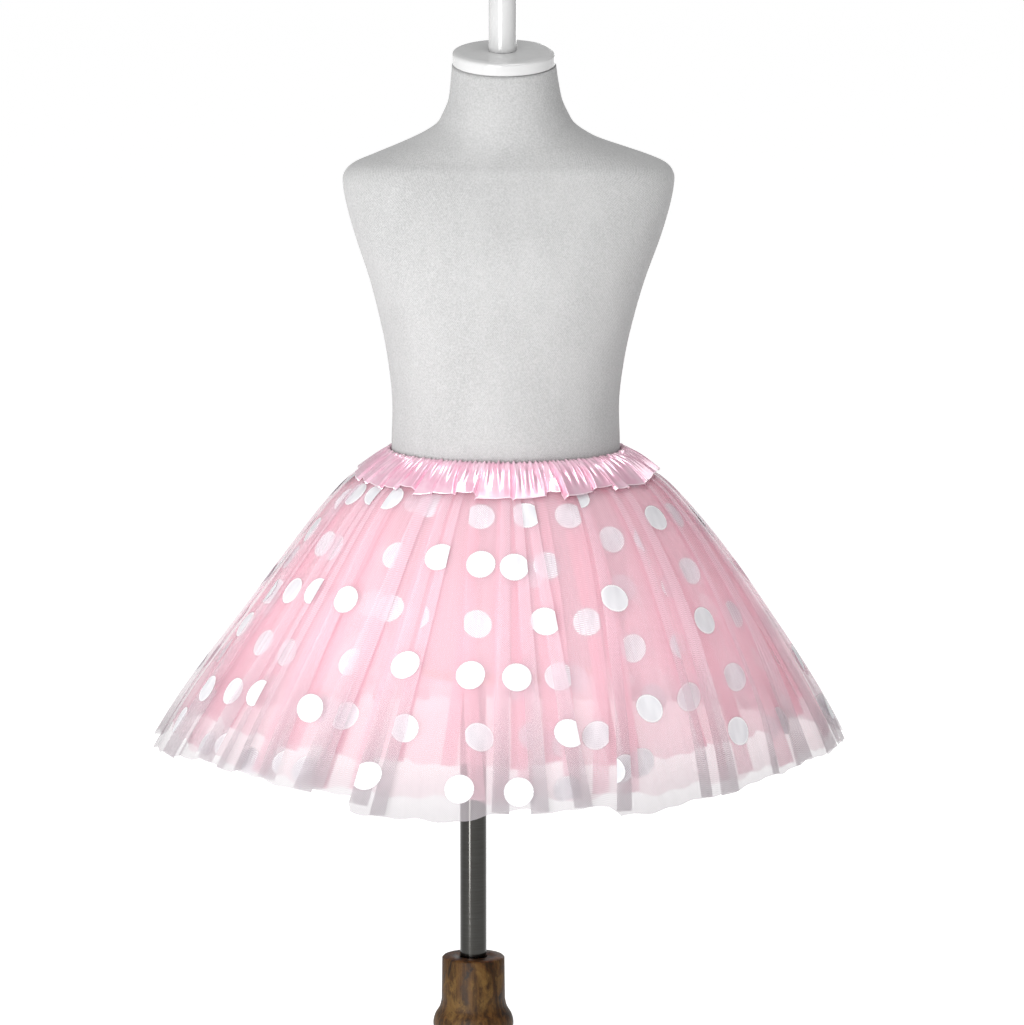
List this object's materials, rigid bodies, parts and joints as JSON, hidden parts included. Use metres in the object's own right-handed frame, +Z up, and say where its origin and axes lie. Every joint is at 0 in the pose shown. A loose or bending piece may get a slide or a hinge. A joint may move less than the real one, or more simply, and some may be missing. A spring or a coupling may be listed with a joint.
{
  "type": "tulle skirt on a dress form",
  "caption": "Gathered polka-dot tulle skirt in graded layers with a satin-covered elastic waist, on a limbless child-size dress form with a pole and turned wooden stand.",
  "frame": {"origin": "centre of the base disc's underside, on the pole's axis", "axes": "+Z up along the pole, -Y towards the front of the skirt, +X to the wearer's left"},
  "size_m": [0.5638, 0.5066, 1.06],
  "materials": {
    "tulle": "fine pink net with round white dots",
    "satin": "glossy pink satin, gathered",
    "elastic": "woven white elastic",
    "jersey": "matt light grey knitted cover",
    "white_lacquer": "glossy white",
    "board": "plain board",
    "dark_steel": "dark polished steel",
    "turned_wood": "dark mottled brown with worn golden patches"
  },
  "bodies": {
    "root": {"tulle_outer_front_left": "tulle", "tulle_outer_front_right": "tulle", "tulle_outer_back_right": "tulle", "tulle_outer_back_left": "tulle", "tulle_middle_front_left": "tulle", "tulle_middle_front_right": "tulle", "tulle_middle_back_right": "tulle", "tulle_middle_back_left": "tulle", "tulle_inner_front_left": "tulle", "tulle_inner_front_right": "tulle", "tulle_inner_back_right": "tulle", "tulle_inner_back_left": "tulle", "waistband": "satin", "waist_elastic": "elastic", "form_torso": "jersey", "neck_cap": "white_lacquer", "neck_rod": "white_lacquer", "form_board": "board", "stand_pole": "dark_steel", "stand_stem": "turned_wood", "stand_base": "turned_wood"}
  },
  "joints": []
}
